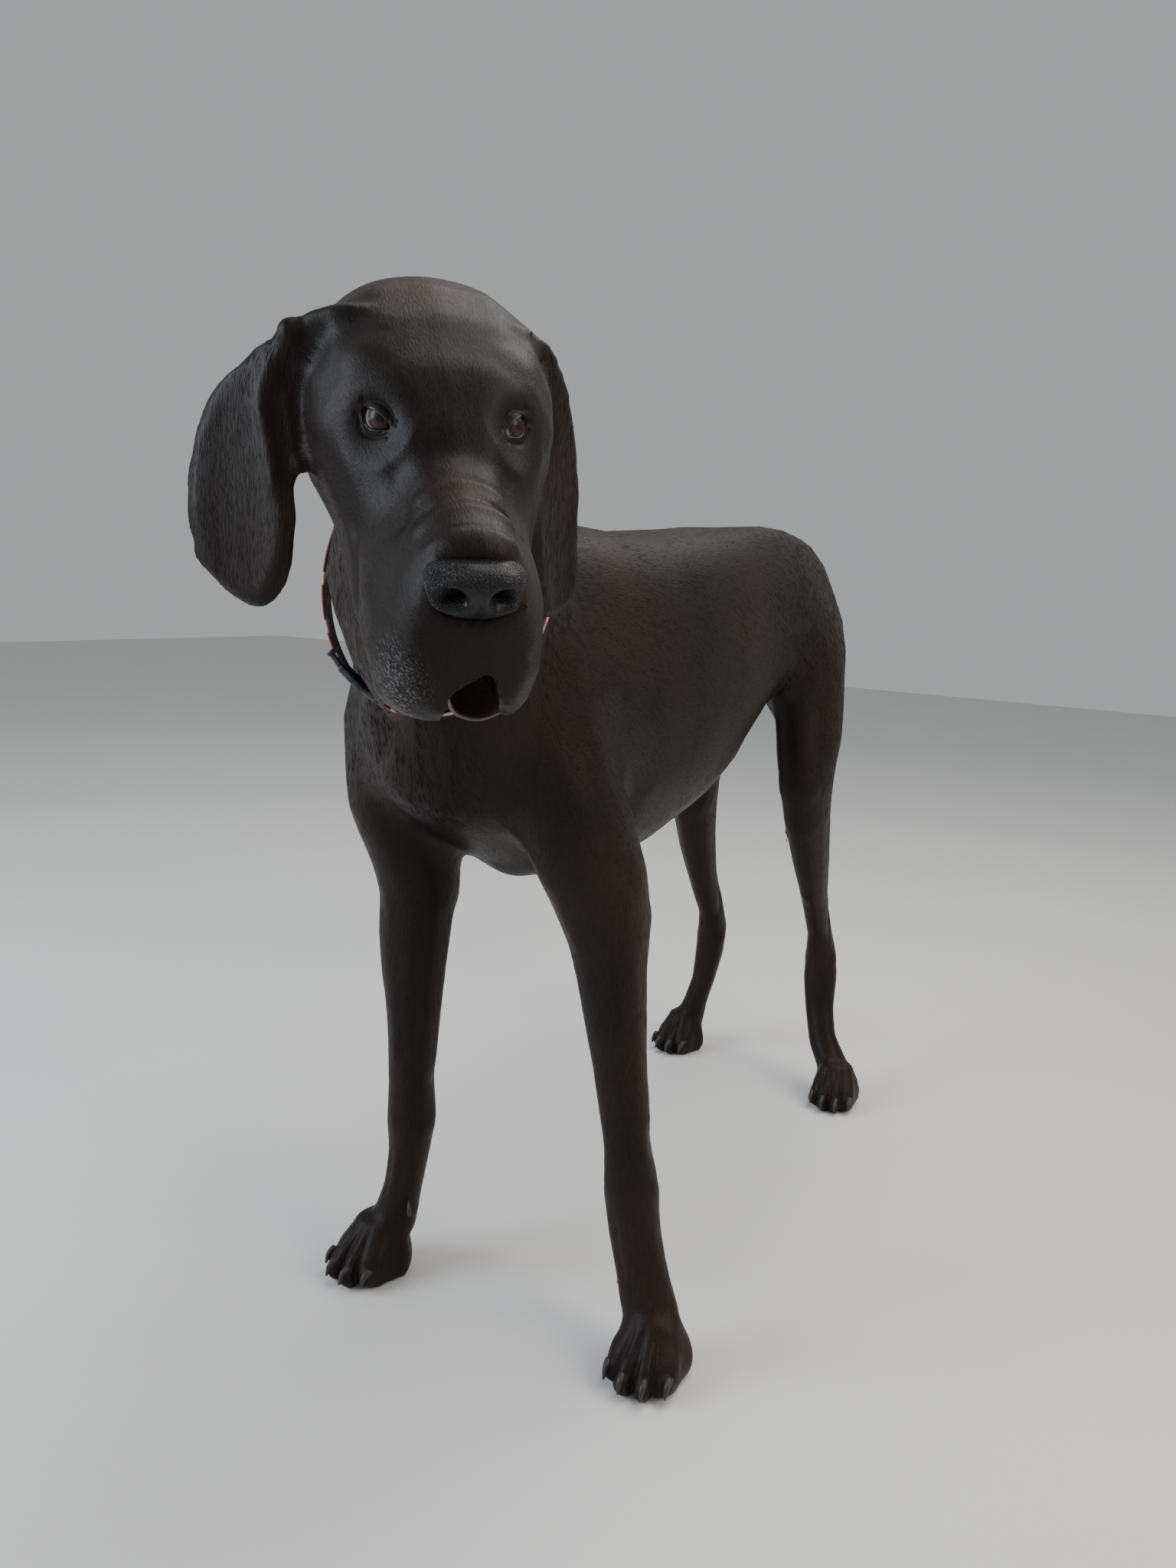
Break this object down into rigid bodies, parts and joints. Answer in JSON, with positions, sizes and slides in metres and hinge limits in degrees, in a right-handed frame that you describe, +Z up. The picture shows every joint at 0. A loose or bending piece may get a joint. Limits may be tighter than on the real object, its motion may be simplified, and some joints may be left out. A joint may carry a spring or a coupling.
{
  "type": "great dane dog",
  "caption": "Life-size still model of a standing short-coated dog with hanging ears and a collar, its head turned to its left and lowered.",
  "frame": {"origin": "on the floor under the middle of the whole model's plan", "axes": "+Z up, the body faces -Y, the dog's left side is +X"},
  "size_m": [0.4636, 1.2994, 0.9176],
  "materials": {
    "coat": "very short sleek black coat with a dark brown tint",
    "nose": "moist black pebbled skin",
    "eye": "wet, glossy dark brown",
    "claw": "dull dark horn",
    "webbing": "woven maroon webbing with pale patches",
    "buckle": "moulded, satin",
    "steel": "worn satin"
  },
  "bodies": {
    "root": {"head": "coat", "nose": "nose", "jaw": "coat", "ear_right": "coat", "ear_left": "coat", "eye_right": "eye", "eye_left": "eye", "neck": "coat", "chest": "coat", "belly": "coat", "rump": "coat", "tail_base": "coat", "tail_tip": "coat", "upper_arm_fl": "coat", "forearm_fl": "coat", "pastern_fl": "coat", "paw_fl": "coat", "upper_arm_fr": "coat", "forearm_fr": "coat", "pastern_fr": "coat", "paw_fr": "coat", "thigh_hl": "coat", "lower_leg_hl": "coat", "hock_hl": "coat", "paw_hl": "coat", "thigh_hr": "coat", "lower_leg_hr": "coat", "hock_hr": "coat", "paw_hr": "coat", "claw_fl_1": "claw", "claw_fl_2": "claw", "claw_fl_3": "claw", "claw_fl_4": "claw", "dewclaw_fl": "claw", "claw_fr_1": "claw", "claw_fr_2": "claw", "claw_fr_3": "claw", "claw_fr_4": "claw", "dewclaw_fr": "claw", "claw_hl_1": "claw", "claw_hl_2": "claw", "claw_hl_3": "claw", "claw_hl_4": "claw", "claw_hr_1": "claw", "claw_hr_2": "claw", "claw_hr_3": "claw", "claw_hr_4": "claw", "collar": "webbing", "buckle": "buckle", "collar_ring": "steel"}
  },
  "joints": []
}
